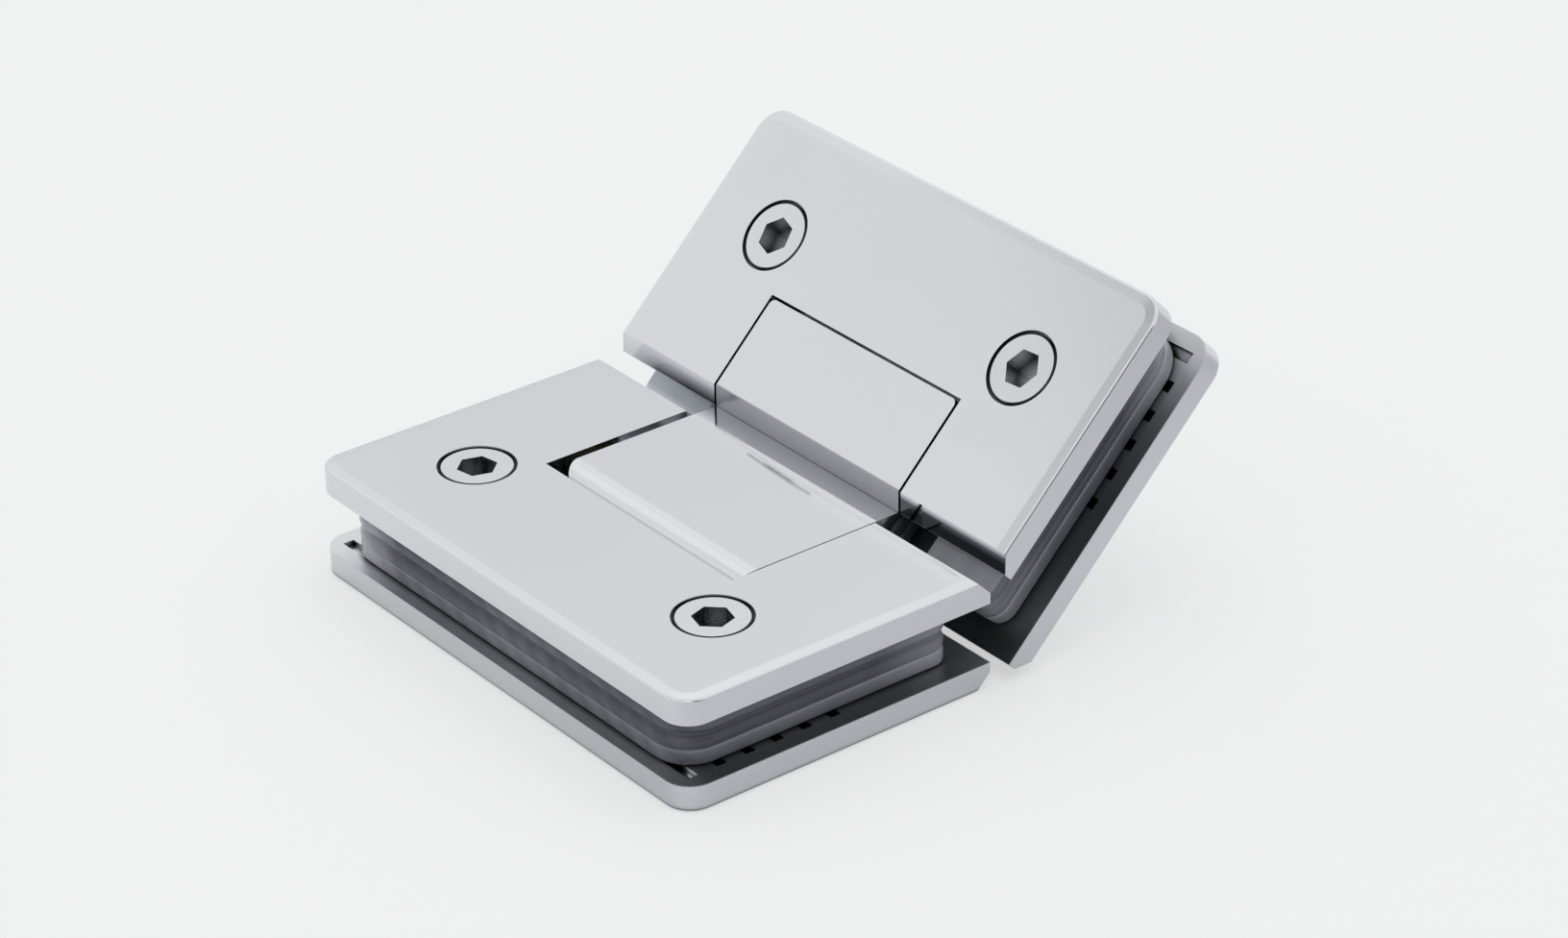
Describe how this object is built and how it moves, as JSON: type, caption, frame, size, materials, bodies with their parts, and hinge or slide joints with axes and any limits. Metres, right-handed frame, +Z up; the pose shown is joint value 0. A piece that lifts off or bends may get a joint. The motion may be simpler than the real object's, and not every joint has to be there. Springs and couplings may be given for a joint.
{
  "type": "glass door hinge",
  "caption": "Glass-to-glass shower door hinge held at 135 degrees: two notched clamp leaves with soft pads and a bent body on a concealed pivot pin.",
  "frame": {"origin": "on the back plane of the door leaf, at mid-length, straight below the valley between the two front sides", "axes": "+X along the hinge, the door leaf lies flat toward -Y, the fixed leaf rises at 45 degrees toward +Y, +Z up from the door leaf's back face"},
  "size_m": [0.0907, 0.0987, 0.051],
  "materials": {
    "polished_plate": "polished",
    "plated_screw": "polished",
    "pad": "translucent matt",
    "sleeve": "natural",
    "brass": "machined",
    "steel": "ground"
  },
  "bodies": {
    "fixed_leaf": {"fixed_front_plate": "polished_plate", "fixed_back_plate": "polished_plate", "fixed_front_gasket": "pad", "fixed_front_spacer": "pad", "fixed_back_spacer": "pad", "fixed_back_gasket": "pad", "fixed_screw_near": "plated_screw", "fixed_sleeve_near": "sleeve", "fixed_screw_far": "plated_screw", "fixed_sleeve_far": "sleeve", "hinge_body": "polished_plate", "pin_bush_near": "brass", "detent_spring_near": "steel", "detent_grub_near": "steel", "tail_screw_near": "plated_screw", "pin_bush_far": "brass", "detent_spring_far": "steel", "detent_grub_far": "steel", "tail_screw_far": "plated_screw"},
    "door_leaf": {"door_front_plate": "polished_plate", "door_back_plate": "polished_plate", "door_front_gasket": "pad", "door_front_spacer": "pad", "door_back_spacer": "pad", "door_back_gasket": "pad", "door_screw_near": "plated_screw", "door_sleeve_near": "sleeve", "door_screw_far": "plated_screw", "door_sleeve_far": "sleeve", "pivot_pin": "steel", "pin_block_near": "brass", "pin_block_screw_near": "plated_screw", "pin_block_far": "brass", "pin_block_screw_far": "plated_screw"},
    "plunger_near": {"detent_plunger_near": "steel"},
    "plunger_far": {"detent_plunger_far": "steel"}
  },
  "joints": [
    {"name": "door_swing", "type": "hinge", "parent": "fixed_leaf", "child": "door_leaf", "pos_m": [0, -0.018, 0.009], "axis": [1, 0, 0], "range_deg": [-90, 90]},
    {"name": "detent_slide_near", "type": "slide", "parent": "fixed_leaf", "child": "plunger_near", "axis": [0, 1, 0], "range_m": [-0.0007, 0]},
    {"name": "detent_slide_far", "type": "slide", "parent": "fixed_leaf", "child": "plunger_far", "axis": [0, 1, 0], "range_m": [-0.0007, 0]}
  ],
  "couplings": [
    {"joint": "detent_slide_far", "follows": "detent_slide_near", "ratio": 1}
  ]
}
